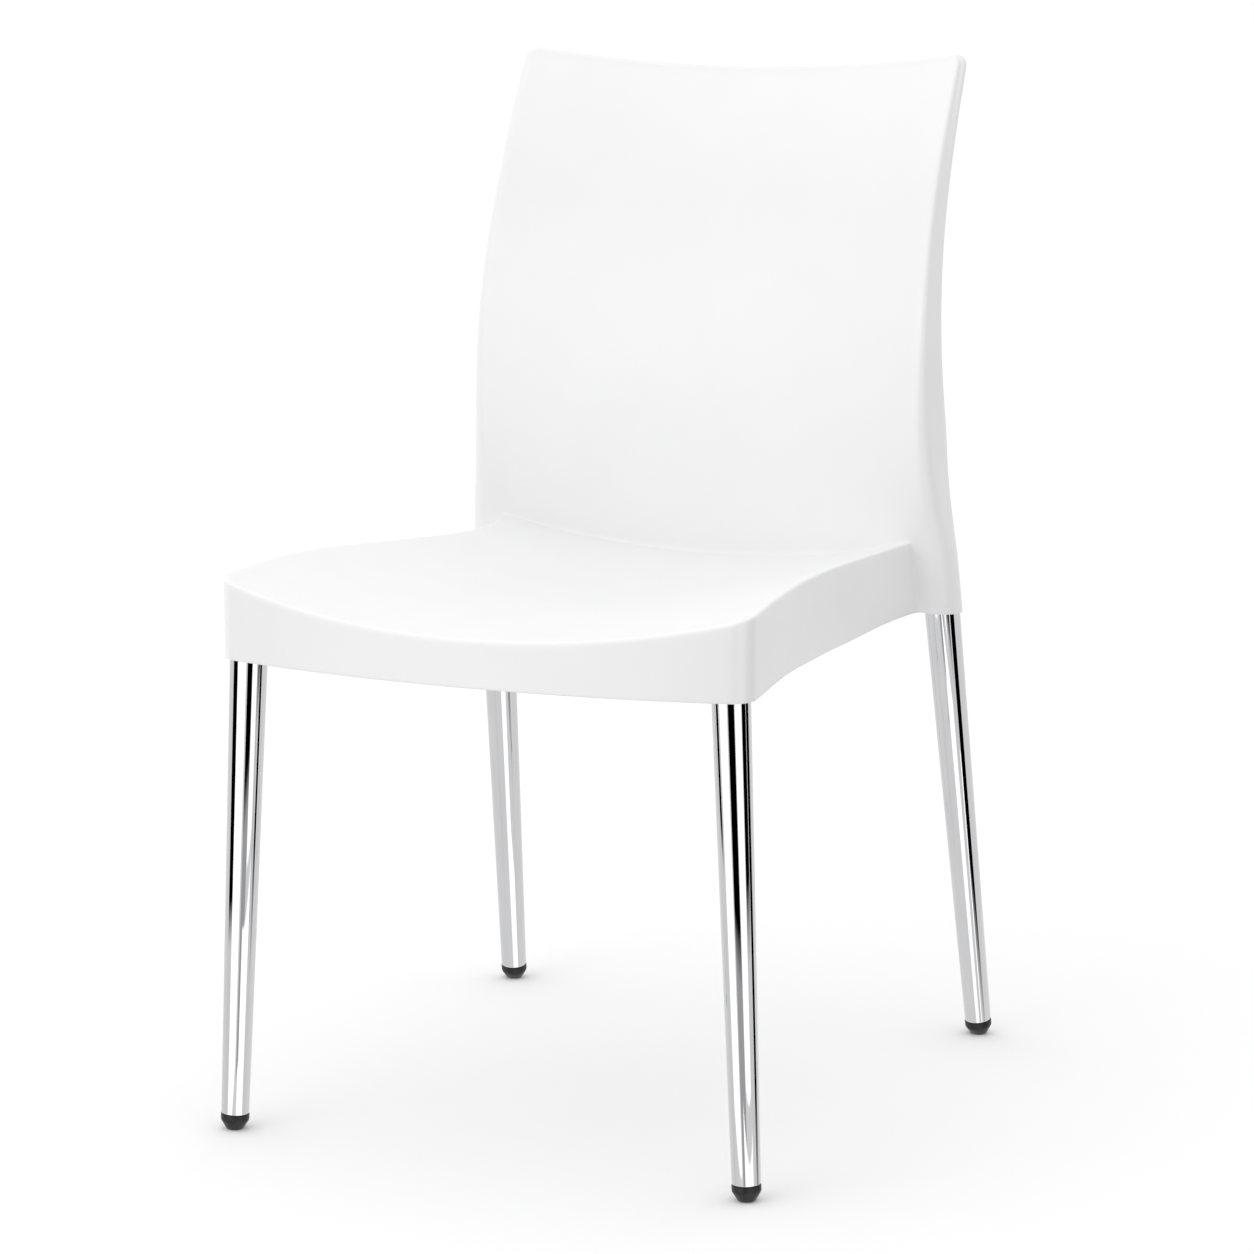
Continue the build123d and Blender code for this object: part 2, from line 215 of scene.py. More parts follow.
def mix(a, b, t):
    """a where t is 0, b where t is 1, in proportion between."""
    return a + (b - a) * t


def steps(start, end, count):
    """Evenly spaced values from start to end, in count steps."""
    return [mix(start, end, i / count) for i in range(count + 1)]


def seat_height(x, y):
    """Height of the seat's top surface."""
    half = seat_half(max(y, CORNER_Y))
    return seat_edge(y) - seat_dish(y) * (1 - (x / half) ** 2)


def back_face(x, z):
    """Y of the back's front surface."""
    half = back_half(z) - back_round(z)
    return back_front(z) + BACK_DISH * (1 - (x / half) ** 2)


def back_wall(z):
    """The panel's thickness measured along Y, which grows as the panel leans."""
    reach = 5.0
    lean = (back_front(z + reach) - back_front(z - reach)) / (2 * reach)
    return SKIN * math.sqrt(1 + lean**2)


def back_top(x):
    """Height of the back's top edge, which dips in the middle."""
    return BACK_TOP - TOP_DIP * (1 - (x / TOP_HALF) ** 2)


def crease_y(x):
    """Where the seat's surface meets the back's, at a distance from the centre."""
    y = CREASE_GUESS
    for _ in range(SETTLE_STEPS):
        y = back_face(x, seat_height(x, y))
    return y


# The shell's control mesh


class Pair:
    """One place on the visible skin and the one inside it."""

    def __init__(self, outer, inner):
        self.outer, self.inner = outer, inner


class ShellCage:
    """Quads between pairs, mirrored left to right, closed round their free edges."""

    def __init__(self):
        self.mesh = bmesh.new()
        self.made = {}
        self.skin = []

    def vert(self, pair, side, inner=False):
        place = pair.inner if inner else pair.outer
        if abs(place[0]) < 1e-6:
            side = 1
        key = (pair, side, inner)
        if key not in self.made:
            x, y, z = place
            self.made[key] = self.mesh.verts.new((side * x * MM, (y + DEPTH_SHIFT) * MM, z * MM))
        return self.made[key]

    def face(self, corners, side, inner):
        verts = [self.vert(pair, side, inner) for pair in corners]
        if (side < 0) != inner:
            verts.reverse()
        return self.mesh.faces.new(verts)

    def grid(self, rows, inside=True):
        """rows of pairs, wound so that the visible side faces outwards on the right half."""
        for low, high in zip(rows, rows[1:]):
            for a, b, c, d in zip(low, low[1:], high[1:], high):
                for side in (1, -1):
                    self.skin.append(self.face((a, b, c, d), side, False))
                    if inside:
                        self.face((a, b, c, d), side, True)

    def close_rim(self):
        """Joins the visible skin to the inside all round the shell's free edge."""
        inner_of = {}
        for (pair, side, inner), vert in self.made.items():
            if not inner and (pair, side, True) in self.made:
                inner_of[vert] = self.made[(pair, side, True)]
        for face in list(self.skin):
            for loop in face.loops:
                edge = loop.edge
                if len(edge.link_faces) == 1:
                    a, b = loop.vert, loop.link_loop_next.vert
                    self.mesh.faces.new((b, a, inner_of[a], inner_of[b]))


def seat_outline(station, inset):
    """A point inside the seat's outline from above, at a station: a part and an angle or a Y."""
    part, value = station
    if part == "front":
        radius = FRONT_RADIUS - inset
        return radius * math.sin(value), FRONT_Y + FRONT_RADIUS - radius * math.cos(value)
    if part == "corner":
        radius = CORNER_RADIUS - inset
        return CORNER_X + radius * math.sin(value), CORNER_Y - radius * math.cos(value)
    slope = (seat_half(value + 1) - seat_half(value - 1)) / 2
    length = math.sqrt(1 + slope**2)
    return seat_half(value) - inset / length, value + inset * slope / length


def coons(bottom, right, top, left):
    """Fills a four-sided patch from its edges: bottom and top run left to right, the others up."""
    columns, rows = len(bottom), len(left)
    patch = []
    for i in range(rows):
        v = i / (rows - 1)
        row = []
        for j in range(columns):
            u = j / (columns - 1)
            along = mix(left[i], right[i], u) + mix(bottom[j], top[j], v)
            corners = mix(mix(bottom[0], bottom[-1], u), mix(top[0], top[-1], u), v)
            row.append(along - corners)
        patch.append(row)
    return patch


def skirt_levels(top, bottom):
    """Heights of the control rows down the skirt."""
    middle = [mix(top, bottom, share) for share in SKIRT_SHARES]
    return [top, top - EDGE_DROP, *middle, bottom + RIM_SUPPORT, bottom]


def seat_pair(x, y):
    z = seat_height(x, y)
    return Pair((x, y, z), (x, y, z - SKIN))


def back_pair(x, z):
    y = back_face(x, z)
    return Pair((x, y, z), (x, y + back_wall(z), z))


def skirt_column(station, wall):
    """Points down the skirt at one station, from the seat's edge to the rim."""
    x, y = seat_outline(station, 0)
    inner_x, inner_y = seat_outline(station, wall)
    top = seat_height(x, y)
    levels = skirt_levels(top, skirt_bottom(y))
    inner_levels = [top - SKIN] + [min(z, top - EDGE_DROP_INSIDE) for z in levels[1:]]
    return [Pair((x, y, z), (inner_x, inner_y, inner_z)) for z, inner_z in zip(levels, inner_levels)]


def flange_pairs(face, edge, normal, z, post):
    """Points across the back's edge at one station, from its front face round to its rear rim.

    face is the (x, z) where the strip starts, edge the (x, z) on the outline, normal the outward
    direction there. post is 1 where the edge rounds a leg socket and 0 where it is a plain flange."""
    rounding = back_round(z) if normal[1] < 0.5 else TOP_ROUND
    sideways = normal[0]
    wall = mix(SKIN, POST_WALL, post)
    flare = (back_rear_half(z) - back_half(z)) * sideways
    depth = back_rear(z) - back_front(z)

    def out(a, b):
        return edge[0] + a * normal[0], base + b, edge[1] + a * normal[1]

    start = (edge[0] - rounding * normal[0], edge[1] - rounding * normal[1])
    base = back_face(*start)
    share = mix(MIDDLE_SHARE_LOW, MIDDLE_SHARE_HIGH, ease(*MIDDLE_FADE, z))
    middle = (mix(face[0], start[0], share), mix(face[1], start[1], share))
    pairs = [back_pair(*face), back_pair(*middle)]
    inner_round = max(rounding, wall + LEAST_INNER_ROUND)
    for angle in (0, 30, 60, 90):
        s, c = math.sin(math.radians(angle)), math.cos(math.radians(angle))
        outer = out(-rounding * (1 - s), rounding * (1 - c))
        inner = out(-inner_round + (inner_round - wall) * s, inner_round - (inner_round - wall) * c)
        pairs.append(Pair(outer, inner))
    wrap = math.radians(90 * post)
    radius = max(post_round(z), wall + LEAST_INNER_POST_ROUND)
    arc_start = depth - radius * math.sin(wrap) - RIM_LENGTH * (1 - post)
    half_way = mix(rounding, arc_start, 0.5)
    lean = 0.5 * flare
    pairs.append(Pair(out(lean, half_way), out(lean - wall, max(half_way, inner_round + LEAST_STEP))))
    for i in range(RIM_ROWS + 1):
        angle = wrap * i / RIM_ROWS
        s, c = math.sin(angle), math.cos(angle)
        straight = RIM_LENGTH * (1 - post) * i / RIM_ROWS
        outer = out(flare - radius * (1 - c), arc_start + straight + radius * s)
        inner_radius = radius - wall
        inner = out(flare - radius + inner_radius * c, arc_start + straight + inner_radius * s)
        pairs.append(Pair(outer, inner))
    return pairs


def meeting_point():
    """Where the seat's edge meets the back's edge."""
    y = MEETING_GUESS
    for _ in range(SETTLE_STEPS):
        y = back_face(seat_half(y), seat_height(seat_half(y), y))
    x = seat_half(y)
    return x, y, seat_height(x, y)


def seat_stations(last_y):
    """Stations round the seat's edge, from the middle of the front to just before the back."""
    turn = math.atan2(CORNER_X, FRONT_RADIUS - FRONT_RISE)
    fronts = [("front", angle) for angle in steps(0, turn, FRONT_COLUMNS)]
    corners = [("corner", angle) for angle in steps(turn, math.pi / 2, CORNER_COLUMNS)]
    sides = [("side", y) for y in steps(CORNER_Y, last_y, SIDE_ROWS)]
    return fronts + corners[1:] + sides[1:]


def face_place(pair):
    """A pair's place on the back as seen from the front."""
    return np.array((pair.outer[0], pair.outer[2]))


class ShellBuilder:
    """Makes the shell's control mesh region by region. Each region starts from the ones before it."""

    def __init__(self):
        self.cage = ShellCage()
        self.meet_x, self.meet_y, self.meet_z = meeting_point()
        self.ring_x = self.meet_x - EDGE_RING
        last_y = crease_y(self.ring_x) - CREASE_SUPPORT_END
        self.stations = seat_stations(last_y)
        self.ring = [seat_outline(station, EDGE_RING) for station in self.stations]
        self.ring[-1] = (self.ring_x, last_y)
        self.share = [x / self.ring[HALF_CORNER][0] for x, _ in self.ring[: HALF_CORNER + 1]]
        self.reach = [mix(CREASE_SUPPORT, CREASE_SUPPORT_END, s**3) for s in self.share]
        self.levels = skirt_levels(self.meet_z, POST_BOTTOM)

    def build(self):
        self.add_seat()
        self.add_skirt()
        self.add_flange()
        self.add_back()
        self.add_rear_apron()
        self.cage.close_rim()
        return self.cage.mesh

    def add_seat(self):
        """The seat's surface inside its edge ring."""
        rear_line = []
        for s, reach in zip(self.share, self.reach):
            rear_line.append(np.array((self.ring_x * s, crease_y(self.ring_x * s) - reach)))
        front_line = [np.array(p) for p in self.ring[: HALF_CORNER + 1]]
        side_line = [np.array(p) for p in self.ring[HALF_CORNER:]]
        middle = steps(front_line[0][1], rear_line[0][1], len(side_line) - 1)
        middle_line = [np.array((0.0, y)) for y in middle]
        patch = coons(front_line, side_line, rear_line, middle_line)
        self.seat = [[seat_pair(float(x), float(y)) for x, y in row] for row in patch]
        self.cage.grid(self.seat)

    def post_column(self):
        """Points down the line where the skirt runs into the post."""
        column = []
        for level, z in enumerate(self.levels):
            y = self.meet_y
            for _ in range(SETTLE_STEPS):
                y = back_face(seat_half(y), z)
            x = seat_half(y)
            y = min(y, back_face(x, z))
            drop = SKIN if level == 0 else 0
            column.append(Pair((x, y, z), (x - SKIRT_WALL, y + SKIN, z - drop)))
        return column

    def crease_line(self):
        """Points along the crease between seat and back."""
        line = []
        for s in self.share:
            x = self.ring_x * s
            y = crease_y(x)
            z = seat_height(x, y)
            line.append(Pair((x, y, z), (x, y + SKIN, z - SKIN)))
        return line

    def add_skirt(self):
        """The skirt, the ring that joins it to the seat, and the seat's last row, up to the crease."""
        columns = [skirt_column(station, SKIRT_WALL) for station in self.stations]
        self.meet_column = self.post_column()
        columns.append(self.meet_column)
        self.crease = self.crease_line()
        ring = self.seat[0][: HALF_CORNER + 1] + [row[-1] for row in self.seat[1:]] + [self.crease[-1]]
        skirt = [[column[k] for column in columns] for k in range(len(self.levels))]
        self.cage.grid(skirt[::-1] + [ring])
        self.cage.grid([self.seat[-1], self.crease], inside=False)

    def post_strip(self):
        """Stations up the post, below the crease."""
        strip = []
        for pair, z in zip(self.meet_column[::-1], self.levels[::-1]):
            pairs = flange_pairs((pair.outer[0], z), (back_half(z), z), (1, 0), z, 1.0)
            pairs[0] = pair
            strip.append(pairs)
        return strip

    def side_strip(self, side_top):
        """Stations up the back's side, from the crease to the top corner."""
        strip = []
        first_z = self.meet_z + CREASE_SUPPORT_END
        last_x = back_half(side_top) - TOP_MARGIN
        for z in steps(first_z, side_top, BACK_ROWS):
            up = (z - first_z) / (side_top - first_z)
            face_x = mix(self.meet_x + FACE_START, last_x, up)
            face_z = z - FACE_LIFT * ease(FACE_FADE, side_top, z)
            post = 1 - ease(*POST_FADE, z)
            strip.append(flange_pairs((face_x, face_z), (back_half(z), z), (1, 0), z, post))
        return strip

    def top_strip(self, side_top):
        """Stations round the top corner and along the top edge to the middle."""
        strip = []
        centre_x = back_half(side_top) - TOP_CORNER
        inner_x = back_half(side_top) - TOP_MARGIN - FACE_CORNER
        inner_z = side_top - FACE_LIFT
        for angle in steps(0, math.pi / 2, TOP_CORNER_COLUMNS)[1:]:
            normal = (math.cos(angle), math.sin(angle))
            edge = (centre_x + TOP_CORNER * normal[0], side_top + TOP_CORNER * normal[1])
            face = (inner_x + FACE_CORNER * normal[0], inner_z + FACE_CORNER * normal[1])
            strip.append(flange_pairs(face, edge, normal, edge[1], 0.0))
        face_drop = side_top + TOP_CORNER - (inner_z + FACE_CORNER)
        for s in steps(1, 0, len(self.share) - TOP_CORNER_COLUMNS // 2)[1:]:
            edge = (centre_x * s, back_top(centre_x * s))
            face = (inner_x * s, back_top(centre_x * s) - face_drop)
            strip.append(flange_pairs(face, edge, (0, 1), edge[1], 0.0))
        return strip

    def add_flange(self):
        """The back's edge, from the bottom of the post to the middle of the top."""
        side_top = back_top(TOP_HALF - TOP_CORNER) - TOP_CORNER
        strip = self.post_strip() + self.side_strip(side_top) + self.top_strip(side_top)
        self.inner_line = [pairs[0] for pairs in strip]
        self.cage.grid([[pairs[q] for pairs in strip] for q in range(len(strip[0]))][::-1])

    def add_back(self):
        """The back's surface inside its flange, and its first row, up from the crease."""
        first = len(self.levels)
        corner = first + BACK_ROWS + TOP_CORNER_COLUMNS // 2
        low_line = []
        for pair, reach in zip(self.crease, self.reach):
            low_line.append(np.array((pair.outer[0], pair.outer[2] + reach)))
        low_line.append(face_place(self.inner_line[first]))
        side_line = [face_place(pair) for pair in self.inner_line[first : corner + 1]]
        top_line = [face_place(pair) for pair in reversed(self.inner_line[corner:])]
        middle = steps(low_line[0][1], top_line[0][1], len(side_line) - 1)
        middle_line = [np.array((0.0, z)) for z in middle]
        patch = coons(low_line, side_line, top_line, middle_line)
        self.back = [[back_pair(float(x), float(z)) for x, z in row] for row in patch]
        for i, row in enumerate(self.back):
            row[-1] = self.inner_line[first + i]
        self.back[-1] = self.inner_line[: -len(self.back[-1]) - 1 : -1]
        self.cage.grid(self.back)
        self.cage.grid([self.crease + [self.meet_column[0]], self.back[0]], inside=False)
        corner_pairs = (self.crease[-1], self.meet_column[0], self.back[0][-1], self.back[0][-2])
        for side in (1, -1):
            self.cage.face(corner_pairs, side, True)

    def apron_line(self, column):
        """Points down the rear apron's front and up its rear, at one place along the crease."""
        x, _, crease_z = self.crease[column].outer
        start = crease_z - SKIN
        middle = mix(start, POST_BOTTOM, APRON_SHARE)
        levels = [start, start - APRON_DROP, middle, POST_BOTTOM + RIM_SUPPORT, POST_BOTTOM]
        down = [(x, back_face(x, z), z) for z in levels]
        up = [(x, back_face(x, z) + back_wall(z), z) for z in levels[:1:-1]]
        return [Pair(None, place) for place in down + up]

    def add_rear_apron(self):
        """Behind the crease the panel goes on down to the skirt's rim."""
        count = len(self.crease)
        lines = [self.apron_line(column) for column in range(count)]
        rows = [self.seat[-1][:count]]
        rows += [[line[k] for line in lines] for k in range(len(lines[0]))]
        rows += [self.back[0][:count]]
        for low, high in zip(rows, rows[1:]):
            for corners in zip(low, low[1:], high[1:], high):
                for side in (1, -1):
                    self.cage.face(corners, side, True)
        cap = [self.seat[-1][-1], *lines[-1], self.back[0][count - 1], self.crease[-1]]
        for side in (1, -1):
            self.cage.face(cap[::-1], side, True)


def new_object(name, mesh, smooth=True):
    mesh.normal_update()
    data = bpy.data.meshes.new(name)
    mesh.to_mesh(data)
    mesh.free()
    if smooth:
        data.polygons.foreach_set("use_smooth", [True] * len(data.polygons))
    piece = bpy.data.objects.new(name, data)
    bpy.context.scene.collection.objects.link(piece)
    return piece


def subdivide(piece, levels):
    modifier = piece.modifiers.new("subdivision", "SUBSURF")
    modifier.levels = modifier.render_levels = levels
    modifier.use_limit_surface = True


# Bodies of revolution along the legs


def leg_axis(kind, side, z):
    leg = LEGS[kind]
    x = leg["foot"][0] + leg["slope"][0] * z
    y = leg["foot"][1] + leg["slope"][1] * z
    return Vector((SIDES[side] * x, y + DEPTH_SHIFT, z)) * MM


def leg_frame(kind, side):
    """Position and rotation of a leg: its Z axis runs up the tube from the floor."""
    start = leg_axis(kind, side, 0)
    along = (leg_axis(kind, side, 100) - start).normalized()
    across = Vector((1, 0, 0)) - along * along.x
    across.normalize()
    turn = Matrix((across, along.cross(across), along)).transposed().to_4x4()
    return Matrix.Translation(start) @ turn


def leg_length(kind, side):
    return (leg_axis(kind, side, LEGS[kind]["top"]) - leg_axis(kind, side, 0)).length / MM


def lathe(name, profile, place, segments=LATHE_SEGMENTS):
    """A closed body of revolution from a closed (radius, height) outline."""
    mesh = bmesh.new()
    rings = []
    for radius, height in profile:
        if radius < 1e-6:
            rings.append([mesh.verts.new((0, 0, height * MM))])
            continue
        ring = []
        for angle in [2 * math.pi * i / segments for i in range(segments)]:
            x, y = radius * MM * math.cos(angle), radius * MM * math.sin(angle)
            ring.append(mesh.verts.new((x, y, height * MM)))
        rings.append(ring)
    for low, high in zip(rings, rings[1:] + rings[:1]):
        for i in range(segments):
            j = (i + 1) % segments
            lower = [low[i % len(low)], low[j % len(low)]]
            upper = [high[j % len(high)], high[i % len(high)]]
            corners = list(dict.fromkeys(lower + upper))
            if len(corners) > 2:
                mesh.faces.new(corners)
    mesh.transform(place)
    bmesh.ops.recalc_face_normals(mesh, faces=mesh.faces)
    return new_object(name, mesh)


def rounded(profile, radius, count=4):
    """The same closed outline with its sharp corners rounded."""
    result = []
    size = len(profile)
    for i, corner in enumerate(profile):
        before, after = Vector(profile[i - 1]), Vector(profile[(i + 1) % size])
        here = Vector(corner)
        if here.x < 1e-6:
            result.append(corner)
            continue
        to_before, to_after = before - here, after - here
        reach = min(radius, to_before.length * 0.45, to_after.length * 0.45)
        start = here + to_before.normalized() * reach
        end = here + to_after.normalized() * reach
        for k in range(count + 1):
            t = k / count
            point = start * (1 - t) ** 2 + here * 2 * t * (1 - t) + end * t**2
            result.append((point.x, point.y))
    return result


# Pieces


def make_shell():
    piece = new_object("seat_shell_moulding", ShellBuilder().build())
    subdivide(piece, 2)
    return piece


def make_leg(kind, side):
    length = leg_length(kind, side)
    straight = length - SOCKET_DEPTH
    profile = [
        (LEG_FOOT_RADIUS - LEG_WALL, GLIDE_HEIGHT),
        (LEG_FOOT_RADIUS, GLIDE_HEIGHT),
        (LEG_TOP_RADIUS, straight),
        (LEG_TOP_RADIUS, length),
        (LEG_TOP_RADIUS - LEG_WALL, length),
        (LEG_TOP_RADIUS - LEG_WALL, straight),
    ]
    return lathe(f"chrome_leg_{kind}_{side}", rounded(profile, LEG_EDGE_ROUND), leg_frame(kind, side))


def make_glide(kind, side):
    band, bore = LEG_FOOT_RADIUS + GLIDE_LIP, LEG_FOOT_RADIUS - LEG_WALL
    taper_length = leg_length(kind, side) - SOCKET_DEPTH - GLIDE_HEIGHT
    growth = (LEG_TOP_RADIUS - LEG_FOOT_RADIUS) / taper_length
    profile = [
        (0, 0),
        (GLIDE_BOTTOM, 0),
        (band, GLIDE_CONE),
        (band, GLIDE_HEIGHT - GLIDE_GAP),
        (bore, GLIDE_HEIGHT - GLIDE_GAP),
        (bore + growth * GLIDE_STEM, GLIDE_HEIGHT + GLIDE_STEM),
        (0, GLIDE_HEIGHT + GLIDE_STEM),
    ]
    piece = lathe(f"foot_glide_{kind}_{side}", rounded(profile, GLIDE_ROUND), leg_frame(kind, side))
    for vertex in piece.data.vertices:
        vertex.co.z = max(vertex.co.z, 0.0)
    return piece


def closed_loft(mesh, sections):
    """Joins closed outlines of equal length into a solid with flat ends."""
    rings = [[mesh.verts.new(Vector(p) * MM) for p in section] for section in sections]
    for low, high in zip(rings, rings[1:]):
        for i in range(len(low)):
            j = (i + 1) % len(low)
            mesh.faces.new((low[i], low[j], high[j], high[i]))
    mesh.faces.new(rings[0][::-1])
    mesh.faces.new(rings[-1])


def rib_section(along, at, lengthwise):
    """A rib's outline under the seat at one place along it. lengthwise ribs run along Y."""
    x, y = (at, along) if lengthwise else (along, at)
    top = seat_height(x, y) - SKIN + RIB_OVERLAP_TOP
    bottom = top - RIB_DEPTH
    outline = [
        (-RIB_TOP_HALF, top),
        (-RIB_BOTTOM_HALF, bottom + RIB_ROUND),
        (-RIB_BOTTOM_HALF + RIB_ROUND, bottom),
        (RIB_BOTTOM_HALF - RIB_ROUND, bottom),
        (RIB_BOTTOM_HALF, bottom + RIB_ROUND),
        (RIB_TOP_HALF, top),
    ]
    if lengthwise:
        return [(at + offset, y + DEPTH_SHIFT, z) for offset, z in outline]
    return [(x, at + offset + DEPTH_SHIFT, z) for offset, z in outline]


def front_wall(x):
    """Y of the seat's front edge at a distance from the centre."""
    return FRONT_Y + FRONT_RADIUS - math.sqrt(FRONT_RADIUS**2 - x**2)


def make_ribs():
    mesh = bmesh.new()
    for x in RIBS_ALONG_X:
        start = front_wall(x) + SKIRT_WALL - RIB_OVERLAP_END
        end = crease_y(abs(x)) + RIB_OVERLAP_END
        closed_loft(mesh, [rib_section(y, x, True) for y in steps(start, end, RIB_SECTIONS)])
    for y in RIBS_ACROSS_Y:
        reach = seat_half(y) - SKIRT_WALL + RIB_OVERLAP_END
        closed_loft(mesh, [rib_section(x, y, False) for x in steps(-reach, reach, RIB_SECTIONS)])
    bmesh.ops.recalc_face_normals(mesh, faces=mesh.faces)
    return new_object("underside_ribs", mesh, smooth=False)


def make_front_socket(side):
    """The barrel round the top of a front leg, slimmer where it runs into the skirt's corner."""
    mesh = bmesh.new()
    sections = []
    turns = [2 * math.pi * i / SOCKET_SEGMENTS for i in range(SOCKET_SEGMENTS)]
    for z in steps(SOCKET_BOTTOM, SOCKET_TOP, SOCKET_SECTIONS):
        centre = leg_axis("front", "right", z) / MM
        section = []
        for a in turns:
            inward = ease(-0.3, 0.7, (math.sin(a) - math.cos(a)) / math.sqrt(2))
            radius = mix(SOCKET_CORNER_RADIUS, SOCKET_RADIUS, inward)
            x, y = centre.x + radius * math.cos(a), centre.y + radius * math.sin(a)
            roof = seat_height(x, y - DEPTH_SHIFT) - SKIN / 2
            section.append((SIDES[side] * x, y, min(z, roof)))
        sections.append(section)
    closed_loft(mesh, sections)
    bmesh.ops.recalc_face_normals(mesh, faces=mesh.faces)
    piece = new_object(f"front_socket_{side}", mesh)
    piece.data.set_sharp_from_angle(angle=math.radians(40))
    return piece


def make_screw_boss(kind, side):
    """A flat-faced boss on the inner side of a socket, under the screw's washer."""
    z = LEGS[kind]["top"] - SCREW_BELOW_TOP
    inwards = Matrix.Rotation(-SIDES[side] * math.pi / 2, 4, "Y")
    place = Matrix.Translation(leg_axis(kind, side, z)) @ inwards
    profile = [(0, BOSS_START), (BOSS_RADIUS, BOSS_START), (BOSS_RADIUS, BOSS_REACH), (0, BOSS_REACH)]
    return lathe(f"screw_boss_{kind}_{side}", rounded(profile, BOSS_ROUND), place, BOSS_SEGMENTS)


def core_section(z, side):
    """Level outline of the post round a rear leg, just inside the moulding's skin."""
    half, front, nose = back_half(z), back_front(z), max(back_round(z), 4.0)
    rear_half, rear, heel = back_rear_half(z), back_rear(z), max(post_round(z), 3.0)
    inner = hollow_half(z)
    panel = back_face(CORE_INSIDE_X, z)
    at_inner = back_face(inner, z)
    outline = [
        (CORE_INSIDE_X, panel + CORE_BURIED),
        (CORE_INSIDE_X, panel + SKIN - CORE_BURIED),
        (inner - 5, back_face(inner - 5, z) + SKIN - CORE_BURIED / 2),
        (inner - 1.5, at_inner + SKIN + 1),
        (inner, at_inner + SKIN + 4),
        (inner, rear - 3),
        (inner + 0.8, rear - 1.8),
        (inner + 2.0, rear - CORE_BURIED),
    ]
    reach = heel - CORE_BURIED
    for a in steps(math.pi / 2, 0, CORE_ARC):
        outline.append((rear_half - heel + reach * math.cos(a), rear - heel + reach * math.sin(a)))
    reach = nose - CORE_BURIED
    for a in steps(0, -math.pi / 2, CORE_ARC):
        outline.append((half - nose + reach * math.cos(a), front + nose + reach * math.sin(a)))
    return [(SIDES[side] * x, y + DEPTH_SHIFT, z) for x, y in outline]


def make_post_core(side):
    """The solid wall behind the back that shuts in a rear leg's socket."""
    mesh = bmesh.new()
    closed_loft(mesh, [core_section(z, side) for z in steps(CORE_BOTTOM, CORE_TOP, CORE_SECTIONS)])
    bmesh.ops.recalc_face_normals(mesh, faces=mesh.faces)
    piece = new_object(f"rear_post_core_{side}", mesh)
    piece.data.set_sharp_from_angle(angle=math.radians(35))
    return piece


# Materials


def principled(name, colour, roughness, **inputs):
    material = bpy.data.materials.new(name)
    material.use_nodes = True
    tree = material.node_tree
    shader = tree.nodes["Principled BSDF"]
    shader.inputs["Base Color"].default_value = (*colour, 1)
    shader.inputs["Roughness"].default_value = roughness
    for socket, value in inputs.items():
        shader.inputs[socket.replace("_", " ")].default_value = value
    return material, tree, shader


def noise(tree, scale, detail=3.0, stretch=(1, 1, 1)):
    """A noise pattern in the object's own metres, as a socket that runs from 0 to 1."""
    place = tree.nodes.new("ShaderNodeTexCoord")
    mapping = tree.nodes.new("ShaderNodeMapping")
    mapping.inputs["Scale"].default_value = stretch
    pattern = tree.nodes.new("ShaderNodeTexNoise")
    pattern.inputs["Scale"].default_value = scale
    pattern.inputs["Detail"].default_value = detail
    tree.links.new(place.outputs["Object"], mapping.inputs["Vector"])
    tree.links.new(mapping.outputs["Vector"], pattern.inputs["Vector"])
    return pattern.outputs["Fac"]


def spread(tree, source, low, high, start=0.3, end=0.7):
    """Stretches a pattern's middle range over a new range."""
    node = tree.nodes.new("ShaderNodeMapRange")
    node.inputs["From Min"].default_value = start
    node.inputs["From Max"].default_value = end
    node.inputs["To Min"].default_value = low
    node.inputs["To Max"].default_value = high
    tree.links.new(source, node.inputs["Value"])
    return node.outputs["Result"]


def tint(tree, shader, source, dark, light):
    """Varies the base colour between two close shades."""
    node = tree.nodes.new("ShaderNodeMix")
    node.data_type = "RGBA"
    node.inputs["A"].default_value = (*dark, 1)
    node.inputs["B"].default_value = (*light, 1)
    tree.links.new(source, node.inputs["Factor"])
    tree.links.new(node.outputs["Result"], shader.inputs["Base Color"])


def bump(tree, shader, source, depth, strength):
    """Turns a pattern into fine relief, depth metres high."""
    node = tree.nodes.new("ShaderNodeBump")
    node.inputs["Strength"].default_value = strength
    node.inputs["Distance"].default_value = depth
    tree.links.new(source, node.inputs["Height"])
    tree.links.new(node.outputs["Normal"], shader.inputs["Normal"])


def shell_plastic():
    """White polypropylene with the fine spark grain of a moulded seat."""
    material, tree, shader = principled("white_polypropylene", (0.88, 0.88, 0.88), 0.36)
    tint(tree, shader, spread(tree, noise(tree, 14), 0, 1), SHELL_DARK, SHELL_LIGHT)
    tree.links.new(spread(tree, noise(tree, 40), 0.32, 0.40), shader.inputs["Roughness"])
    bump(tree, shader, noise(tree, 1400, 2.0), 0.00004, 0.35)
    return material


def chrome():
    """Bright chrome plate with a slight polishing haze along the tube."""
    material, tree, shader = principled("bright_chrome", (0.62, 0.62, 0.63), 0.04, Metallic=1.0)
    streaks = noise(tree, 90, 4.0, (1, 1, 0.04))
    tint(tree, shader, spread(tree, streaks, 0, 1), (0.60, 0.60, 0.61), (0.64, 0.64, 0.65))
    tree.links.new(spread(tree, streaks, 0.025, 0.06), shader.inputs["Roughness"])
    return material


def black_plastic():
    """Matt black moulded plastic with a fine grain."""
    middle, dark, light = (0.012, 0.012, 0.012), (0.008, 0.008, 0.008), (0.018, 0.018, 0.019)
    material, tree, shader = principled("black_glide_plastic", middle, 0.42, Specular_IOR_Level=0.3)
    tint(tree, shader, spread(tree, noise(tree, 250), 0, 1), dark, light)
    tree.links.new(spread(tree, noise(tree, 500), 0.36, 0.5), shader.inputs["Roughness"])
    bump(tree, shader, noise(tree, 2500, 2.0), 0.00005, 0.5)
    return material


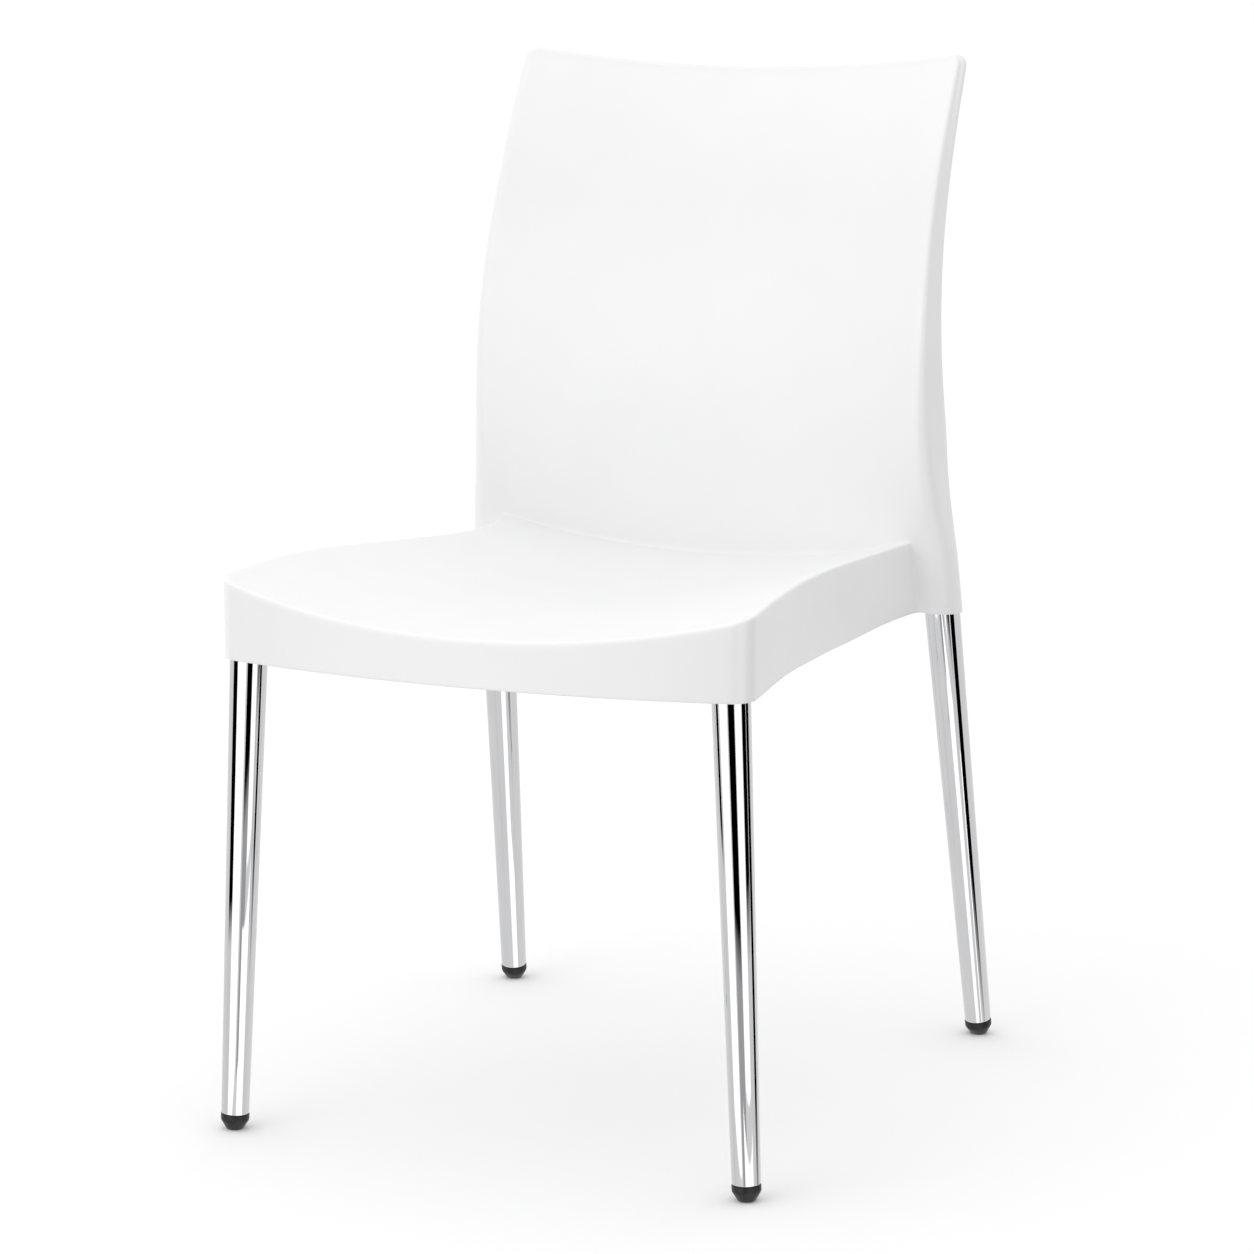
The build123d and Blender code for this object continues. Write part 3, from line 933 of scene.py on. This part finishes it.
def nylon():
    """Unpainted cream nylon, slightly mottled."""
    material, tree, shader = principled("natural_nylon", (0.72, 0.70, 0.64), 0.5)
    tint(tree, shader, spread(tree, noise(tree, 120), 0, 1), (0.68, 0.66, 0.60), (0.76, 0.74, 0.68))
    bump(tree, shader, noise(tree, 900, 2.0), 0.00005, 0.5)
    return material


def zinc(name, level):
    """Zinc plate, which is a little cloudy."""
    material, tree, shader = principled(name, (level, level, level), 0.3, Metallic=1.0)
    cloud = noise(tree, 350, 4.0)
    dark, light = (level - 0.05,) * 3, (level + 0.05, level + 0.05, level + 0.07)
    tint(tree, shader, spread(tree, cloud, 0, 1), dark, light)
    tree.links.new(spread(tree, cloud, 0.22, 0.4), shader.inputs["Roughness"])
    bump(tree, shader, noise(tree, 1800, 2.0), 0.00004, 0.4)
    return material


def finish_piece(piece, material, slot, *nodes):
    """Gives a piece its material and hides the CAD nodes that it stands for. The slot argument is not used.
    """
    piece.data.materials.clear()
    piece.data.materials.append(material)
    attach(piece, "root")
    if nodes:
        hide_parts(*nodes)


# Camera, light and floor


def add_camera():
    """In front of the chair, to its right and a little above the seat."""
    azimuth, pitch = math.radians(CAMERA_AZIMUTH), math.radians(CAMERA_PITCH)
    data = bpy.data.cameras.new("camera")
    data.sensor_width = 36.0
    data.lens = CAMERA_LENS
    data.clip_end = 50.0
    camera = bpy.data.objects.new("camera", data)
    camera.rotation_euler = (math.pi / 2 - pitch, 0, azimuth)
    camera.location = Vector(CAMERA_PLACE) + Vector((0, DEPTH_SHIFT * MM, 0))
    bpy.context.scene.collection.objects.link(camera)
    bpy.context.scene.camera = camera


def at_least(tree, source, lowest):
    """Keeps a value from falling below lowest."""
    node = tree.nodes.new("ShaderNodeMath")
    node.operation = "MAXIMUM"
    node.inputs[1].default_value = lowest
    tree.links.new(source, node.inputs[0])
    return node.outputs[0]


def add_world():
    """Soft white surroundings, brightest overhead and to the left. Reflections see them evenly lit."""
    world = bpy.data.worlds.new("studio")
    bpy.context.scene.world = world
    world.use_nodes = True
    tree = world.node_tree
    direction = tree.nodes.new("ShaderNodeTexCoord")
    parts = tree.nodes.new("ShaderNodeSeparateXYZ")
    tree.links.new(direction.outputs["Generated"], parts.inputs["Vector"])
    above = at_least(tree, parts.outputs["Z"], 0.0)
    level = None
    for axis, place in (("X", parts.outputs["X"]), ("Y", parts.outputs["Y"]), ("Z", above)):
        node = tree.nodes.new("ShaderNodeMath")
        node.operation = "MULTIPLY_ADD"
        tree.links.new(place, node.inputs[0])
        node.inputs[1].default_value = WORLD_SLOPES[axis]
        if level is None:
            node.inputs[2].default_value = WORLD_LEVEL
        else:
            tree.links.new(level, node.inputs[2])
        level = node.outputs[0]
    level = at_least(tree, level, WORLD_LEAST)
    rays = tree.nodes.new("ShaderNodeLightPath")
    choice = tree.nodes.new("ShaderNodeMix")
    choice.inputs["B"].default_value = WORLD_IN_REFLECTIONS
    tree.links.new(rays.outputs["Is Glossy Ray"], choice.inputs["Factor"])
    tree.links.new(level, choice.inputs["A"])
    background = tree.nodes["Background"]
    background.inputs["Color"].default_value = (1, 1, 1, 1)
    tree.links.new(choice.outputs["Result"], background.inputs["Strength"])


def add_board(name, corners, top, bottom, fade):
    """A glowing board that only reflections see, so that gloss and chrome have something to mirror.

    Its brightness runs from bottom to top between the two heights in fade."""
    mesh = bmesh.new()
    mesh.faces.new([mesh.verts.new(corner) for corner in corners])
    board = new_object(name, mesh, smooth=False)
    material = bpy.data.materials.new(name)
    material.use_nodes = True
    tree = material.node_tree
    tree.nodes.remove(tree.nodes["Principled BSDF"])
    glow = tree.nodes.new("ShaderNodeEmission")
    place = tree.nodes.new("ShaderNodeTexCoord")
    parts = tree.nodes.new("ShaderNodeSeparateXYZ")
    tree.links.new(place.outputs["Object"], parts.inputs["Vector"])
    level = spread(tree, parts.outputs["Z"], bottom, top, *fade)
    tree.links.new(level, glow.inputs["Strength"])
    tree.links.new(glow.outputs["Emission"], tree.nodes["Material Output"].inputs["Surface"])
    board.data.materials.append(material)
    board.visible_camera = board.visible_diffuse = False
    board.visible_shadow = board.visible_transmission = False


def add_card(name, centre, width, low, high, top, bottom, fade):
    """An upright board that faces the chair from centre (X, Y)."""
    middle = Vector((*centre, 0))
    across = Vector((-centre[1], centre[0], 0)).normalized() * width / 2
    left, right = middle - across, middle + across
    up, down = Vector((0, 0, high)), Vector((0, 0, low))
    add_board(name, [left + down, right + down, right + up, left + up], top, bottom, fade)


def add_overhead():
    """A bright board above the chair, which draws the thin highlights along the rounded edges."""
    x, y, z = OVERHEAD_CENTRE
    half = OVERHEAD_SIZE / 2
    offsets = ((-half, -half), (-half, half), (half, half), (half, -half))
    corners = [(x + along, y + across, z) for along, across in offsets]
    add_board("softbox_overhead", corners, OVERHEAD_LEVEL, OVERHEAD_LEVEL, (z - 1, z))


def add_light(name, size, energy, place, target):
    """A rectangular lamp of the given size, turned to face target."""
    data = bpy.data.lights.new(name, "AREA")
    data.shape = "RECTANGLE"
    data.size, data.size_y = size
    data.energy = energy
    lamp = bpy.data.objects.new(name, data)
    lamp.location = place
    lamp.rotation_euler = (Vector(target) - Vector(place)).to_track_quat("-Z", "Y").to_euler()
    bpy.context.scene.collection.objects.link(lamp)


def add_floor():
    """A plain pale floor that takes shadows but doesn't light the chair or show in it."""
    mesh = bmesh.new()
    bmesh.ops.create_grid(mesh, x_segments=1, y_segments=1, size=FLOOR_REACH)
    floor = new_object("studio_floor", mesh)
    material, _, _ = principled("floor", (FLOOR_COLOUR,) * 3, 1.0, Specular_IOR_Level=0.0)
    floor.data.materials.append(material)
    floor.visible_glossy = floor.visible_diffuse = False


def add_studio():
    bpy.context.scene.view_settings.view_transform = "Standard"
    add_world()
    add_floor()
    add_light("key", KEY_SIZE, KEY_WATTS, KEY_PLACE, KEY_TARGET)
    add_overhead()
    for card in CARDS:
        add_card(*card)


add_camera()
add_studio()

plastic, plating, rubber = shell_plastic(), chrome(), black_plastic()
hidden = {
    "tube_plug": nylon(),
    "leg_screw": zinc("zinc_screw", 0.62),
    "screw_washer": zinc("zinc_washer", 0.68),
}
finish_piece(make_shell(), plastic, "shell_plastic", "seat_shell")
finish_piece(make_ribs(), plastic, "shell_plastic")
for side in SIDES:
    finish_piece(make_front_socket(side), plastic, "shell_plastic")
    finish_piece(make_post_core(side), plastic, "shell_plastic")
for kind, side in PLACES:
    finish_piece(make_screw_boss(kind, side), plastic, "shell_plastic")
    for node, material in hidden.items():
        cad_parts[f"{node}_{kind}_{side}"].material_slots[0].material = material
for kind, side in PLACES:
    finish_piece(make_leg(kind, side), plating, "leg_chrome", f"leg_{kind}_{side}")
    finish_piece(make_glide(kind, side), rubber, "glide_black", f"glide_{kind}_{side}")
